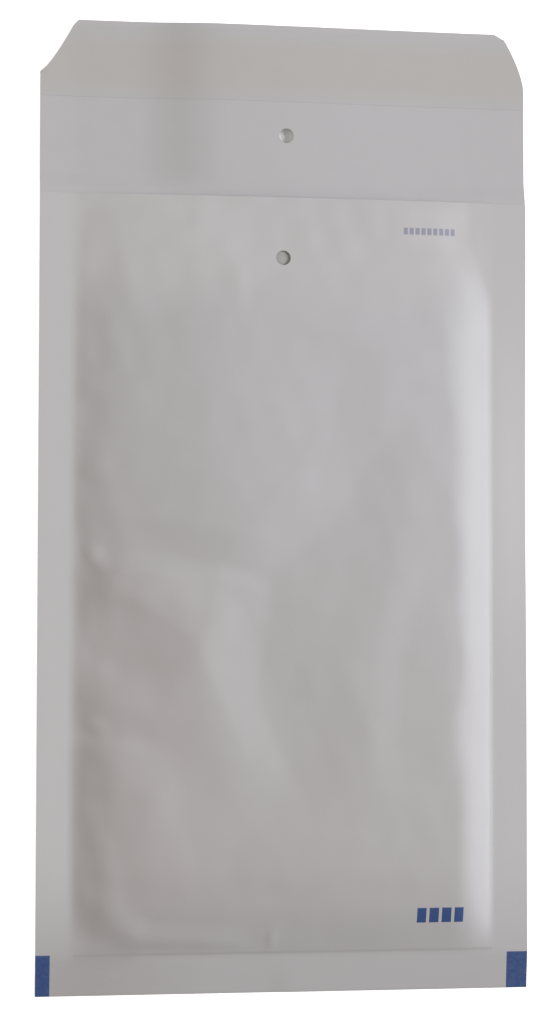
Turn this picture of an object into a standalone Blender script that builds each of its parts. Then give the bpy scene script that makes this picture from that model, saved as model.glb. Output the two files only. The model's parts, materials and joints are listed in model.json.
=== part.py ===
"""Padded mailer: a folded paper envelope with a bag of bubble film inside and its flap open.

Metres, +Z up. The mailer lies on its back with its flap towards +Y. The origin is on the
surface it lies on, under the middle of the opened length and width.
"""

import math

import bmesh
import bpy
from mathutils import Matrix, Vector

# Paper envelope: one sheet, folded across the bottom, with the flap on its back panel
WIDTH = 0.140
BODY_LENGTH = 0.225
FLAP_LENGTH = 0.050
PAPER = 0.00015
SIDE_SEAM = 0.010
FOLD_SPACE = 0.0003

# The flap droops a little and sinks at both sides: steeply at its left, slowly at its right
FLAP_DROOP = 0.0004
FLAP_SINK = 0.0017
SINK_X = -0.039
SINK_CLIMB = 0.020
SINK_FALL = 0.080
SINK_SHARE = 0.8
SINK_REACH = 0.017

# Cut corners of the flap: the die that cuts them sits a little to one side
BEVEL_LENGTH = 0.0163
BEVEL_LEFT = 0.0102
BEVEL_RIGHT = 0.0066
TRIM_REACH = 0.024
BEVEL_BOW_LEFT = 0.9
BEVEL_BOW_RIGHT = 1.5
TIP_ROUND_LEFT = 0.0006
TIP_ROUND_RIGHT = 0.0020

# Bubble film: a bag that is folded at its foot and welded along both sides
FILM = 0.0002
BUBBLE_PITCH = 0.0122
BUBBLE_HEIGHT = 0.0022
BUBBLE_SLOPE = 0.0018
FOOT_MARGIN = 0.010
FOLD_LAND = 0.0010
POCKET_GAP = 0.0026
POCKET_DOME = 0.0022
MOUTH_BAND = 0.010

# How far in from a seam the bag needs to reach its full thickness: it is crisp at the right
# seam, and long at the left one, where it has been leaned on
LEFT_REACH = 0.023
RIGHT_REACH = 0.013
FOOT_REACH = 0.022
MOUTH_REACH = 0.028
SHOULDER = 0.036
MOUTH_TAPER = 0.024

# Relief of the empty mailer's front: a swell down its left half, and two buckles that start
# at the left seam. Distances up the front are counted from the bottom fold
SWELL_HEIGHT = 0.0007
SWELL_X = -0.024
SWELL_SLANT = 0.30
SWELL_MIDDLE = 0.085
RELIEF_WIDTH = 0.020
RELIEF_LOW = 0.040
RELIEF_HIGH = 0.130
RELIEF_FADE = 0.025
BUCKLE_HEIGHT = 0.0009
BUCKLE_START = 0.005
BUCKLE_LENGTH = 0.040
BUCKLE_PLACES = (0.1220, 0.0725)
BUCKLE_ABOVE = 0.005
BUCKLE_BELOW = 0.016

# Closure: an adhesive band under a release strip, and two holes for a paper clasp
ADHESIVE = 0.00015
ADHESIVE_FROM_TIP = 0.004
ADHESIVE_WIDTH = 0.0165
LINER = 0.00012
LINER_FROM_TIP = 0.0015
LINER_WIDTH = 0.0205
HOLE_DIAMETER = 0.0042
HOLE_FROM_CREASE = 0.0178
CREASE_FROM_MOUTH = 0.0004
HOLE_SIDES = 20

# Printed cutting marks at the two bottom corners
MARK_HEIGHT = 0.0104
MARK_LEFT = 0.0041
MARK_RIGHT = 0.0061

# Room kept between pieces that touch, and the spacing of the lines that shape the paper
FIT = 0.0003
ROW_STEP = 0.0050
COLUMN_STEP = 0.0064
BACK_ROW_STEP = 0.014
EDGE_SHARES = (0.14, 0.30, 0.50, 0.74, 1.0)
FOLD_STEPS = 4
NUDGE = 0.000001

# Places that follow from the sizes
HALF_WIDTH = WIDTH / 2
POCKET_HALF = HALF_WIDTH - SIDE_SEAM
FOLD_Y = -(BODY_LENGTH + FLAP_LENGTH) / 2
MOUTH_Y = FOLD_Y + BODY_LENGTH
TIP_Y = MOUTH_Y + FLAP_LENGTH
FILM_Y = FOLD_Y + FOOT_MARGIN
POCKET_Y = FILM_Y + FOLD_LAND
BACK_FILM_Z = PAPER + FIT + BUBBLE_HEIGHT + FILM
STACK = 2 * (PAPER + FIT + FILM)
FOLD_RADIUS = PAPER + FOLD_SPACE / 2
BEVEL_Y = TIP_Y - BEVEL_LENGTH


def ease(share):
    """From 0 to 1 with a level start and a level end."""
    share = min(max(share, 0.0), 1.0)
    return share * share * (3 - 2 * share)


def rise(distance, reach):
    """From 0 at a seam to 1 at reach, steep at first and level at the end."""
    share = min(max(distance / reach, 0.0), 1.0)
    return 1 - (1 - share) ** 2


def bump(distance, width):
    """1 at the middle of a swell or hollow, easing to 0 at width on either side."""
    return 1 - ease(abs(distance) / width)


def fullness(x, y):
    """Share of its full thickness that the bag has reached, counted from the seams."""
    widening = 1 - ease((MOUTH_Y - y) / SHOULDER)
    reach = LEFT_REACH if x < 0 else RIGHT_REACH
    reach += (MOUTH_REACH - reach) * widening
    return rise(POCKET_HALF - abs(x), reach) * rise(y - POCKET_Y, FOOT_REACH)


def cushion(x, y):
    """Height of the bubbles, which are pressed flat at the welds, the fold and the mouth."""
    mouth = ease((MOUTH_Y - MOUTH_BAND - y) / MOUTH_TAPER)
    return BUBBLE_HEIGHT * fullness(x, y) * mouth


def relief(x, y):
    """The broad slanting swell that the paper and the film share."""
    up = y - FOLD_Y
    along = ease((up - RELIEF_LOW) / RELIEF_FADE) * ease((RELIEF_HIGH - up) / RELIEF_FADE)
    middle = SWELL_X + SWELL_SLANT * (SWELL_MIDDLE - up)
    return SWELL_HEIGHT * bump(x - middle, RELIEF_WIDTH) * along


def buckles(x, y):
    """The paper's own ridges, highest beside the left seam and fading to the right."""
    up = y - FOLD_Y
    inward = POCKET_HALF + x
    along = rise(inward, BUCKLE_START) * (1 - ease(inward / BUCKLE_LENGTH))
    height = 0.0
    for place in BUCKLE_PLACES:
        above = up - place
        height += bump(above, BUCKLE_ABOVE if above > 0 else BUCKLE_BELOW)
    return BUCKLE_HEIGHT * along * height


def pocket(x, y):
    """Gap between the inner faces of the two film walls, with a low dome over the whole."""
    dome = 1 - (x / POCKET_HALF) ** 2
    return (POCKET_GAP + POCKET_DOME * dome + relief(x, y)) * fullness(x, y)


def front_film(x, y):
    """Inner face of the front film wall. The back wall's inner face is flat."""
    return BACK_FILM_Z + pocket(x, y)


def lower_paper(x, y):
    """Underside of the back panel, and beyond the mouth that of the flap."""
    if y <= MOUTH_Y:
        return BUBBLE_HEIGHT - cushion(x, y)
    out = y - MOUTH_Y
    climb = ease((x - SINK_X) / SINK_CLIMB)
    fall = ease((x - SINK_X - SINK_CLIMB) / SINK_FALL)
    sink = FLAP_SINK * (1 - climb + SINK_SHARE * fall) * ease(out / SINK_REACH)
    return BUBBLE_HEIGHT - FLAP_DROOP * ease(out / FLAP_LENGTH) - sink


def upper_paper(x, y):
    """Top of the front panel. Below the bag's fold it closes down on the back panel."""
    closing = ease((FILM_Y - y) / (FOOT_MARGIN / 3))
    stack = STACK + (2 * FOLD_RADIUS - STACK) * closing
    return BUBBLE_HEIGHT + stack + pocket(x, y) + cushion(x, y) + buckles(x, y)


def flap_side(side, y):
    """Half width of the flap at y, on the left (-1) or right (1), with its cut corner."""
    depth, bow, tip_round = (
        (BEVEL_LEFT, BEVEL_BOW_LEFT, TIP_ROUND_LEFT)
        if side < 0
        else (BEVEL_RIGHT, BEVEL_BOW_RIGHT, TIP_ROUND_RIGHT)
    )
    share = min(max((y - BEVEL_Y) / BEVEL_LENGTH, 0.0), 1.0)
    into_round = min(max(1 - (TIP_Y - y) / tip_round, 0.0), 1.0)
    rounded = tip_round * (1 - math.sqrt(1 - into_round**2))
    return HALF_WIDTH - depth * share**bow - rounded


def trimmed(x, y):
    """x moved in to the flap's outline, all of it beyond the flap's inner part."""
    inner = HALF_WIDTH - TRIM_REACH
    if abs(x) <= inner:
        return x
    side = math.copysign(1, x)
    share = (abs(x) - inner) / (HALF_WIDTH - inner)
    return side * (inner + share * (flap_side(side, y) - inner))


def even(low, high, step):
    """Evenly spaced places from low to high, both included, no further apart than step."""
    count = max(1, math.ceil((high - low) / step - NUDGE))
    return [low + (high - low) * i / count for i in range(count + 1)]


def column_lines():
    """Places across the width where the paper needs a line to take its shape."""
    lines = even(LEFT_REACH - POCKET_HALF, POCKET_HALF - RIGHT_REACH, COLUMN_STEP)
    lines += [share * LEFT_REACH - POCKET_HALF for share in EDGE_SHARES]
    lines += [POCKET_HALF - share * RIGHT_REACH for share in EDGE_SHARES]
    lines += [-HALF_WIDTH, MARK_LEFT - HALF_WIDTH, -POCKET_HALF]
    lines += [POCKET_HALF, HALF_WIDTH - MARK_RIGHT, HALF_WIDTH]
    return distinct(lines)


def foot_lines():
    """Places along the length that the bottom strip and the bag's foot need."""
    strip = [FOLD_Y + FOLD_RADIUS, FILM_Y - FOOT_MARGIN / 3, FILM_Y, FOLD_Y + MARK_HEIGHT]
    return strip + [POCKET_Y] + [POCKET_Y + share * FOOT_REACH for share in EDGE_SHARES]


def front_lines():
    buckle_rows = [FOLD_Y + place for place in BUCKLE_PLACES]
    return distinct(
        foot_lines() + buckle_rows + even(POCKET_Y + FOOT_REACH, MOUTH_Y, ROW_STEP)
    )


def back_lines():
    taper = even(MOUTH_Y - MOUTH_BAND - MOUTH_TAPER, MOUTH_Y - MOUTH_BAND, ROW_STEP)
    level = even(POCKET_Y + FOOT_REACH, taper[0], BACK_ROW_STEP)
    return distinct(foot_lines() + level + taper + [MOUTH_Y] + flap_lines())


def flap_lines():
    straight = even(MOUTH_Y, BEVEL_Y, ROW_STEP)
    corner = even(BEVEL_Y, TIP_Y - TIP_ROUND_RIGHT, ROW_STEP)
    tip = [TIP_Y - TIP_ROUND_RIGHT * share for share in (0.6, 0.25, 0.0)]
    return straight[1:] + corner[1:] + tip


def distinct(lines):
    """The lines in order, leaving out any that nearly repeats the one before it."""
    kept = []
    for line in sorted(lines):
        if not kept or line - kept[-1] > FIT:
            kept.append(line)
    return kept


def collection(name):
    made = bpy.data.collections.new(name)
    bpy.context.scene.collection.children.link(made)
    return made


def material(name, colour, roughness, alpha=1.0):
    made = bpy.data.materials.new(name)
    made.use_nodes = True
    shader = made.node_tree.nodes["Principled BSDF"]
    shader.inputs["Base Color"].default_value = (*colour, 1)
    shader.inputs["Roughness"].default_value = roughness
    shader.inputs["Metallic"].default_value = 0.0
    shader.inputs["Alpha"].default_value = alpha
    made.diffuse_color = (*colour, alpha)
    made.roughness = roughness
    return made


def finish(bm, name, home, materials, smooth_below=math.radians(40)):
    """Turns a bmesh into a named object with its materials."""
    mesh = bpy.data.meshes.new(name)
    bm.to_mesh(mesh)
    bm.free()
    mesh.shade_smooth()
    mesh.set_sharp_from_angle(angle=smooth_below)
    for made in materials:
        mesh.materials.append(made)
    thing = bpy.data.objects.new(name, mesh)
    home.objects.link(thing)
    return thing


def score(bm, place, normal):
    """Adds a line of edges where a plane crosses the sheet."""
    bmesh.ops.bisect_plane(
        bm,
        geom=bm.verts[:] + bm.edges[:] + bm.faces[:],
        dist=NUDGE,
        plane_co=place,
        plane_no=normal,
    )


def flat_sheet(columns, rows):
    """A flat sheet with a line at each column and row."""
    bm = bmesh.new()
    bmesh.ops.create_grid(bm, x_segments=1, y_segments=1, size=0.5)
    span = Vector((columns[-1] - columns[0], rows[-1] - rows[0], 1))
    middle = Vector(((columns[-1] + columns[0]) / 2, (rows[-1] + rows[0]) / 2, 0))
    bmesh.ops.scale(bm, vec=span, verts=bm.verts)
    bmesh.ops.translate(bm, vec=middle, verts=bm.verts)
    for column in columns[1:-1]:
        score(bm, (column, 0, 0), (1, 0, 0))
    for row in rows[1:-1]:
        score(bm, (0, row, 0), (0, 1, 0))
    return bm


def thicken(bm, top, bottom):
    """Makes a flat sheet a closed body between two heights that are functions of x and y."""
    made = bmesh.ops.extrude_face_region(bm, geom=bm.faces[:], use_keep_orig=True)
    raised = {item for item in made["geom"] if isinstance(item, bmesh.types.BMVert)}
    for vert in bm.verts:
        height = top if vert in raised else bottom
        vert.co.z = height(vert.co.x, vert.co.y)
    bmesh.ops.remove_doubles(bm, verts=bm.verts[:], dist=NUDGE)
    bmesh.ops.recalc_face_normals(bm, faces=bm.faces[:])
    if bm.calc_volume(signed=True) < 0:
        bmesh.ops.reverse_faces(bm, faces=bm.faces[:])


def unrolled(y):
    """Distance along the flat sheet from the middle of the bottom fold to a place at y."""
    return math.pi / 2 * FOLD_RADIUS + y - (FOLD_Y + FOLD_RADIUS)


def folded(x, along):
    """Place of a point of the flat sheet once it is folded: the front is at negative along."""
    arc = math.pi / 2 * FOLD_RADIUS
    if abs(along) < arc:
        angle = along / FOLD_RADIUS
        y = FOLD_Y + FOLD_RADIUS * (1 - math.cos(angle))
        return Vector((x, y, BUBBLE_HEIGHT + FOLD_RADIUS * (1 - math.sin(angle))))
    y = FOLD_Y + FOLD_RADIUS + abs(along) - arc
    if along < 0:
        return Vector((x, y, upper_paper(x, y)))
    x = trimmed(x, y)
    return Vector((x, y, lower_paper(x, y)))


def paper_envelope(home, paper, ink):
    """One sheet of paper: flap, back panel, bottom fold and front panel in one strip."""
    arc = math.pi / 2 * FOLD_RADIUS
    fold_rows = even(-arc, arc, 2 * arc / FOLD_STEPS)[1:-1]
    front_rows = [-unrolled(y) for y in front_lines()]
    back_rows = [unrolled(y) for y in back_lines()]
    bm = flat_sheet(column_lines(), sorted(front_rows + fold_rows + back_rows))
    for face in bm.faces:
        spot = face.calc_center_median()
        in_row = -unrolled(FOLD_Y + MARK_HEIGHT) - NUDGE < spot.y < 0
        in_column = not MARK_LEFT - HALF_WIDTH < spot.x < HALF_WIDTH - MARK_RIGHT
        face.material_index = 1 if in_row and in_column else 0
    for vert in bm.verts:
        vert.co = folded(vert.co.x, vert.co.y)
    bmesh.ops.reverse_faces(bm, faces=bm.faces[:])
    envelope = finish(bm, "paper_envelope", home, [paper, ink])
    wall = envelope.modifiers.new("paper thickness", "SOLIDIFY")
    wall.thickness = PAPER
    wall.offset = -1
    wall.use_even_offset = True
    return envelope


def film_sheet(side, low, high):
    """A flat sheet of six-sided bubble cells, cut to a rectangle and scored at the welds."""
    bm = bmesh.new()
    row_step = BUBBLE_PITCH * math.sqrt(3) / 2
    across = math.ceil(side / BUBBLE_PITCH) + 1
    rows = math.ceil((MOUTH_Y - FILM_Y) / row_step) + 2
    for row in range(-1, rows):
        shift = BUBBLE_PITCH / 2 if row % 2 else 0
        for column in range(-across, across + 1):
            place = Vector((column * BUBBLE_PITCH + shift, POCKET_Y + row * row_step, 0))
            bmesh.ops.create_circle(
                bm,
                cap_ends=True,
                segments=6,
                radius=BUBBLE_PITCH / math.sqrt(3),
                matrix=Matrix.Translation(place),
            )
    bmesh.ops.remove_doubles(bm, verts=bm.verts[:], dist=BUBBLE_PITCH / 1000)
    for line in (-side, -POCKET_HALF, POCKET_HALF, side):
        score(bm, (line, 0, 0), (1, 0, 0))
    for line in (low, POCKET_Y, MOUTH_Y, high):
        score(bm, (0, line, 0), (0, 1, 0))
    outside = []
    for face in bm.faces:
        spot = face.calc_center_median()
        if abs(spot.x) > side or not low < spot.y < high:
            outside.append(face)
    bmesh.ops.delete(bm, geom=outside, context="FACES")
    return bm


def whole_cells(bm):
    """The uncut cells with room for a bubble, away from the welds, the fold and the mouth."""
    full = 0.9 * BUBBLE_PITCH**2 * math.sqrt(3) / 2
    found = []
    for face in bm.faces:
        spot = face.calc_center_median()
        flat_area = abs(face.normal.z) * face.calc_area()
        if len(face.verts) == 6 and flat_area > full and cushion(spot.x, spot.y) > FILM:
            found.append(face)
    return found


def fan_out(bm, spared=()):
    """Splits each face, apart from those spared, into triangles round its middle."""
    bmesh.ops.poke(bm, faces=[face for face in bm.faces if face not in spared])


def raise_bubbles(bm):
    """Insets each whole cell and lifts its crest off the film, up in front and down behind."""
    cells = whole_cells(bm)
    bmesh.ops.inset_individual(bm, faces=cells, thickness=BUBBLE_SLOPE, use_even_offset=True)
    crests = set()
    for face in cells:
        crests.update(face.verts)
    for vert in crests:
        x, y = vert.co.x, vert.co.y
        if vert.co.z > BACK_FILM_Z:
            vert.co.z = front_film(x, y) + FILM + cushion(x, y)
        else:
            vert.co.z = BACK_FILM_Z - FILM - cushion(x, y)


def bubble_lining(home, cutters, film):
    """The bag: two walls of bubble film in one body, with the pocket cut out between them."""
    bm = film_sheet(HALF_WIDTH, FILM_Y, MOUTH_Y)
    fan_out(bm, spared=whole_cells(bm))
    thicken(bm, lambda x, y: front_film(x, y) + FILM, lambda x, y: BACK_FILM_Z - FILM)
    raise_bubbles(bm)
    lining = finish(bm, "bubble_lining", home, [film], math.radians(25))

    bm = film_sheet(POCKET_HALF, POCKET_Y, MOUTH_Y + BUBBLE_PITCH / 2)
    fan_out(bm)
    thicken(bm, front_film, lambda x, y: BACK_FILM_Z)
    cut(lining, finish(bm, "pocket_space", cutters, []))
    return lining


def flap_strip(home, name, from_tip, width, lift, thickness, finish_material):
    """A strip across the flap's inner face, cut off with the flap's corners."""
    high = TIP_Y - from_tip
    low = high - width
    rows = [y for y in flap_lines() if low + FIT < y < high - FIT]
    bm = flat_sheet(column_lines(), [low] + rows + [high])
    for vert in bm.verts:
        vert.co.x = trimmed(vert.co.x, vert.co.y)

    def underside(x, y):
        return lower_paper(x, y) + PAPER + lift

    thicken(bm, lambda x, y: underside(x, y) + thickness, underside)
    return finish(bm, name, home, [finish_material])


def clasp_hole(cutters, name, y, low, high):
    """A round cutter for one of the two punched holes."""
    bm = bmesh.new()
    bmesh.ops.create_cone(
        bm,
        cap_ends=True,
        segments=HOLE_SIDES,
        radius1=HOLE_DIAMETER / 2,
        radius2=HOLE_DIAMETER / 2,
        depth=high - low,
        matrix=Matrix.Translation((0, y, (high + low) / 2)),
    )
    return finish(bm, name, cutters, [])


def cut(thing, cutter):
    cutter.hide_render = True
    cutter.display_type = "WIRE"
    hole = thing.modifiers.new(cutter.name, "BOOLEAN")
    hole.operation = "DIFFERENCE"
    hole.object = cutter


def main():
    for thing in list(bpy.data.objects):
        bpy.data.objects.remove(thing)
    home = collection("bubble_mailer")
    cutters = collection("cutters")
    paper = material("white paper", (0.46, 0.455, 0.46), 0.62)
    ink = material("blue print", (0.045, 0.085, 0.24), 0.55)
    film = material("clear bubble film", (0.80, 0.82, 0.84), 0.18, alpha=0.45)
    glue = material("adhesive", (0.62, 0.56, 0.42), 0.30)
    liner = material("release strip", (0.46, 0.445, 0.42), 0.42)

    envelope = paper_envelope(home, paper, ink)
    lining = bubble_lining(home, cutters, film)
    flap_strip(home, "flap_adhesive", ADHESIVE_FROM_TIP, ADHESIVE_WIDTH, FIT, ADHESIVE, glue)
    above_adhesive = 2 * FIT + ADHESIVE
    flap_strip(
        home, "release_liner", LINER_FROM_TIP, LINER_WIDTH, above_adhesive, LINER, liner
    )

    # The flap folds on its crease, just past the mouth, and brings the two holes together
    crease_y = MOUTH_Y + CREASE_FROM_MOUTH
    front_hole = clasp_hole(
        cutters,
        "front_clasp_hole",
        crease_y - HOLE_FROM_CREASE,
        BACK_FILM_Z + POCKET_GAP / 2,
        BACK_FILM_Z + 2 * (POCKET_GAP + POCKET_DOME + BUBBLE_HEIGHT),
    )
    flap_hole = clasp_hole(
        cutters,
        "flap_clasp_hole",
        crease_y + HOLE_FROM_CREASE,
        -BUBBLE_HEIGHT,
        2 * BUBBLE_HEIGHT,
    )
    cut(envelope, front_hole)
    cut(envelope, flap_hole)
    cut(lining, front_hole)


main()
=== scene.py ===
# %% [markdown]
# # A padded mailer, lying open
#
# A padded mailer is a long strip of white paper. It is folded across the bottom, sealed along
# both sides over a bag of bubble film, and left open at the top, where the back panel runs on
# into a flap with a peel strip. This file starts from a plain model of those four pieces at
# their real size. It then makes each piece again with the fine shape and the finish that the
# plain model lacks. The unit is the metre, +Z is up, and +Y runs from the fold to the flap.

# %% Load the plain model
import json
import math

import bpy
import numpy as np
from mathutils import Euler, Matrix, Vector

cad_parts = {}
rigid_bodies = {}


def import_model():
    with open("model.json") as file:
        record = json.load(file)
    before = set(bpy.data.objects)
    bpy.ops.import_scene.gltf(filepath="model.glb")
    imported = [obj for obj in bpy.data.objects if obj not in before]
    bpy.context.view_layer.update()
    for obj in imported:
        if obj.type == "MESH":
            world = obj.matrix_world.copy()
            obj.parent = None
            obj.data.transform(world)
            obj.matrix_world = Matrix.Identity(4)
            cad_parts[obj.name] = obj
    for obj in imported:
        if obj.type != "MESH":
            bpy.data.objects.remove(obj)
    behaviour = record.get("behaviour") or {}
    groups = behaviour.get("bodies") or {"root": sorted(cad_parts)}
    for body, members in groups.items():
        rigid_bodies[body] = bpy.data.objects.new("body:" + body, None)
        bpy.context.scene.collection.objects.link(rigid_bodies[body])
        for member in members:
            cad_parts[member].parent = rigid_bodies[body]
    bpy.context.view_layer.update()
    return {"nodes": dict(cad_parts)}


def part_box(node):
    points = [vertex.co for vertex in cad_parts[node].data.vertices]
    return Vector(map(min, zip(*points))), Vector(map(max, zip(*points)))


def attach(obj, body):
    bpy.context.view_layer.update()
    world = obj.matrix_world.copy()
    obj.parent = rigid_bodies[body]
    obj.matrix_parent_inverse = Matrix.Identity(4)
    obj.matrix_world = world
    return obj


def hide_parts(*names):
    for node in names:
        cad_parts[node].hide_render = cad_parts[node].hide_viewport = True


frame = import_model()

print("plain pieces:", ", ".join(sorted(frame["nodes"])))

# %% [markdown]
# ## Sizes that the pieces share
#
# The outer sizes are read from the plain model, so nothing here can drift away from it. What
# the plain model doesn't show, such as how thin the paper is drawn or where a seam starts, is
# named once here. A name for the millimetre keeps the numbers easy to check with a ruler.

# %% Places read from the plain model
MM = 0.001
paper_low, paper_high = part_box("paper_envelope")
film_low, film_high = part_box("bubble_lining")
HALF_WIDTH = paper_high.x
FOLD_Y = paper_low.y
TIP_Y = paper_high.y
MOUTH_Y = film_high.y
FILM_Y = film_low.y
print("mailer", [round(side / MM, 1) for side in paper_high - paper_low], "mm")

# %% Sizes of the real mailer
PAPER = 0.15 * MM
SIDE_SEAM = 10 * MM
POCKET_HALF = HALF_WIDTH - SIDE_SEAM
POCKET_Y = FILM_Y + 1.0 * MM
SEAM_Z = 2.2 * MM
SEAM_STACK = 0.7 * MM
FOLD_RADIUS = 0.3 * MM
FILM = 0.1 * MM
BUBBLE_HEIGHT = 2.2 * MM
BUBBLE_PITCH = 12.2 * MM
BUBBLE_RADIUS = 5 * MM
BUBBLE_ROWS = BUBBLE_PITCH * math.sqrt(3) / 2
POCKET_RISE = 2.4 * MM
POCKET_DOME = 2.2 * MM
TOUCH = 0.03 * MM
print("pocket half", round(POCKET_HALF / MM, 1), "mm, bubble rows", round(BUBBLE_ROWS / MM, 1), "mm")

# %% [markdown]
# ## Easing
#
# Paper over air has no corners, so almost every height below is a product of smooth steps.
# `ease` starts and ends level. `shoulder` is the profile of an inflated edge: a straight slope
# up from the seam that rounds over into the level top. `tent` is the profile of a fold, `bump`
# that of a single swell, and `ripples` crosses a few waves at odd angles, which looks uneven
# and yet comes out the same on every run. They all work on whole arrays of points.

# %% Smooth steps
def ease(share):
    share = np.clip(share, 0, 1)
    return share * share * (3 - 2 * share)


def shoulder(distance, reach, straight=0.35):
    """0 at a seam and 1 beyond reach: a straight slope at first, which then eases to level."""
    share = np.clip(distance / reach, 0, 1)
    bend = np.clip(share - straight, 0, None)
    return (share - bend**2 / (2 * (1 - straight))) * 2 / (1 + straight)


def tent(share):
    """1 at a fold's line and 0 at its foot, with nearly straight sides that are round at both."""
    rise = np.clip(1 - share, 0, 1)
    return 0.45 * rise + 0.55 * ease(rise)


def bump(distance, width):
    """1 at the middle of a swell, easing to 0 at width on either side."""
    return 1 - ease(np.abs(distance) / width)


WAVES = 7


def ripples(x, y, spacing, seed):
    """Crossing waves of about the given spacing, between -1 and 1."""
    turns = np.random.default_rng(seed)
    total = np.zeros(x.shape)
    for _ in range(WAVES):
        angle = turns.uniform(0, math.pi)
        wave = turns.uniform(0.7, 1.5) * 2 * math.pi / spacing
        phase = turns.uniform(0, 2 * math.pi)
        total += np.sin((x * math.cos(angle) + y * math.sin(angle)) * wave + phase)
    return total / WAVES


def above(up, height, spread):
    """0 below a height in mm on the front and 1 a spread higher."""
    return ease((up - height * MM) / (spread * MM))


def below(up, height, spread):
    """0 above a height in mm on the front and 1 a spread lower."""
    return ease((height * MM - up) / (spread * MM))


print("shoulder from seam to top:", np.round(shoulder(np.linspace(0, 1, 5), 1), 2))

# %% [markdown]
# ## Folds in the front panel
#
# An empty mailer that has been handled is never flat. Long soft folds run down its front where
# the bubbles were pressed, and buckles pinch it from the left seam inwards. Each is described
# here as a maker would mark it on the paper: the line it follows, how high or deep it is, and
# how wide it is on each side. All is in millimetres: a point of a line is its place across the
# mailer and its distance up from the bottom fold. Left and right are those of someone who walks
# along the line, and fade says over which share of the line the fold comes and goes.

# %% A fold follows a line drawn on the paper
def along_line(x, y, line):
    """For each point: signed distance to a line of points (left is +) and share of its length."""
    points = np.array(line) * MM
    steps = points[1:] - points[:-1]
    lengths = np.hypot(steps[:, 0], steps[:, 1])
    starts = np.concatenate([[0], np.cumsum(lengths)])
    nearest = np.full(x.shape, np.inf)
    side = np.zeros(x.shape)
    share = np.zeros(x.shape)
    for start, step, length, before in zip(points, steps, lengths, starts):
        across = step / length
        out_x = x - start[0]
        out_y = y - FOLD_Y - start[1]
        run = np.clip((out_x * across[0] + out_y * across[1]) / length, 0, 1)
        gap_x = out_x - run * step[0]
        gap_y = out_y - run * step[1]
        gap = np.hypot(gap_x, gap_y)
        closer = gap < nearest
        nearest = np.where(closer, gap, nearest)
        turned = np.sign(across[0] * gap_y - across[1] * gap_x)
        side = np.where(closer, turned * gap, side)
        share = np.where(closer, (before + run * length) / starts[-1], share)
    return side, share


CREASE_POWER = 1.6


def fold(x, y, line, height, left, right, sharp=False, fade=(0.25, 0.25)):
    """Height of one fold: a ridge if height is above 0, and a valley if it is below."""
    side, share = along_line(x, y, line)
    width = np.where(side > 0, left, right) * MM
    away = np.clip(np.abs(side) / width, 0, 1)
    profile = (1 - away) ** CREASE_POWER if sharp else tent(away)
    ends = ease(share / max(fade[0], 0.01)) * ease((1 - share) / max(fade[1], 0.01))
    return height * MM * profile * ends


# %% The folds of this mailer's front
FRONT_FOLDS = (
    # Below the upper buckle a ridge runs down from the left seam
    dict(
        line=((-60, 124), (-55, 121), (-41, 108), (-26, 99), (-18, 80), (-11.5, 63), (-5, 50)),
        height=0.85, left=16, right=18, fade=(0.25, 0.3),
    ),
    dict(
        line=((-56, 119), (-46, 112), (-36, 106), (-28, 99)),
        height=0.8, left=19, right=18, fade=(0.25, 0.5),
    ),
    dict(
        line=((-48, 112), (-47, 98), (-47, 84)),
        height=-0.45, left=25, right=13, fade=(0.3, 0.3),
    ),
    # Where a buckle starts the paper stands up in a small crease
    dict(line=((-58, 126), (-50, 118)), height=0.35, left=4.5, right=3, fade=(0.4, 0.4)),
    dict(line=((-59, 78), (-50, 72)), height=0.3, left=4, right=3, fade=(0.4, 0.4)),
    # A shorter ridge below the lower buckle
    dict(
        line=((-60, 76), (-50, 66), (-41, 55), (-38, 42), (-38, 28)),
        height=0.45, left=12, right=13, fade=(0.3, 0.4),
    ),
    # The long valley down the middle, which rises on its right to a broad ridge
    dict(
        line=(
            (34, 166), (22, 147), (11, 131), (-4, 114), (-7.5, 99),
            (-8.4, 84), (-4.4, 72), (2, 59), (14, 42),
        ),
        height=-0.95, left=27, right=17, fade=(0.2, 0.25),
    ),
    dict(
        line=((36, 168), (37, 150), (28, 112), (23, 92), (23, 60), (28, 40)),
        height=0.28, left=10, right=14, fade=(0.2, 0.2),
    ),
    dict(
        line=((40, 116), (46, 96), (47, 70), (44, 50)),
        height=0.28, left=8, right=15, fade=(0.3, 0.3),
    ),
    # Softer folds in the upper half
    dict(
        line=((-24, 196), (-22, 160), (-24, 132)),
        height=0.25, left=18, right=14, fade=(0.2, 0.2),
    ),
    dict(
        line=((16, 186), (13, 160), (6, 138)),
        height=-0.4, left=14, right=20, fade=(0.25, 0.25),
    ),
    dict(line=((-46, 213), (-46, 184)), height=0.35, left=12, right=9, fade=(0.4, 0.5)),
    dict(line=((-15, 210), (-14, 186)), height=0.18, left=4, right=6, fade=(0.4, 0.5)),
    dict(line=((-27, 224), (-27, 198)), height=0.7, left=22, right=26, fade=(0.2, 0.6)),
    dict(line=((-47, 223), (-47, 203)), height=0.55, left=18, right=13, fade=(0.2, 0.5)),
    # The foot: a low swell above it, and one pucker that crosses the seam
    dict(
        line=((-54, 32), (-49, 22), (-40, 15.5), (-28, 14), (-8, 14.5)),
        height=0.6, left=6, right=8,
    ),
    dict(
        line=((-3.3, 8), (-3.0, 20)),
        height=0.35, left=1.6, right=1.2, sharp=True, fade=(0.3, 0.4),
    ),
)

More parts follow.
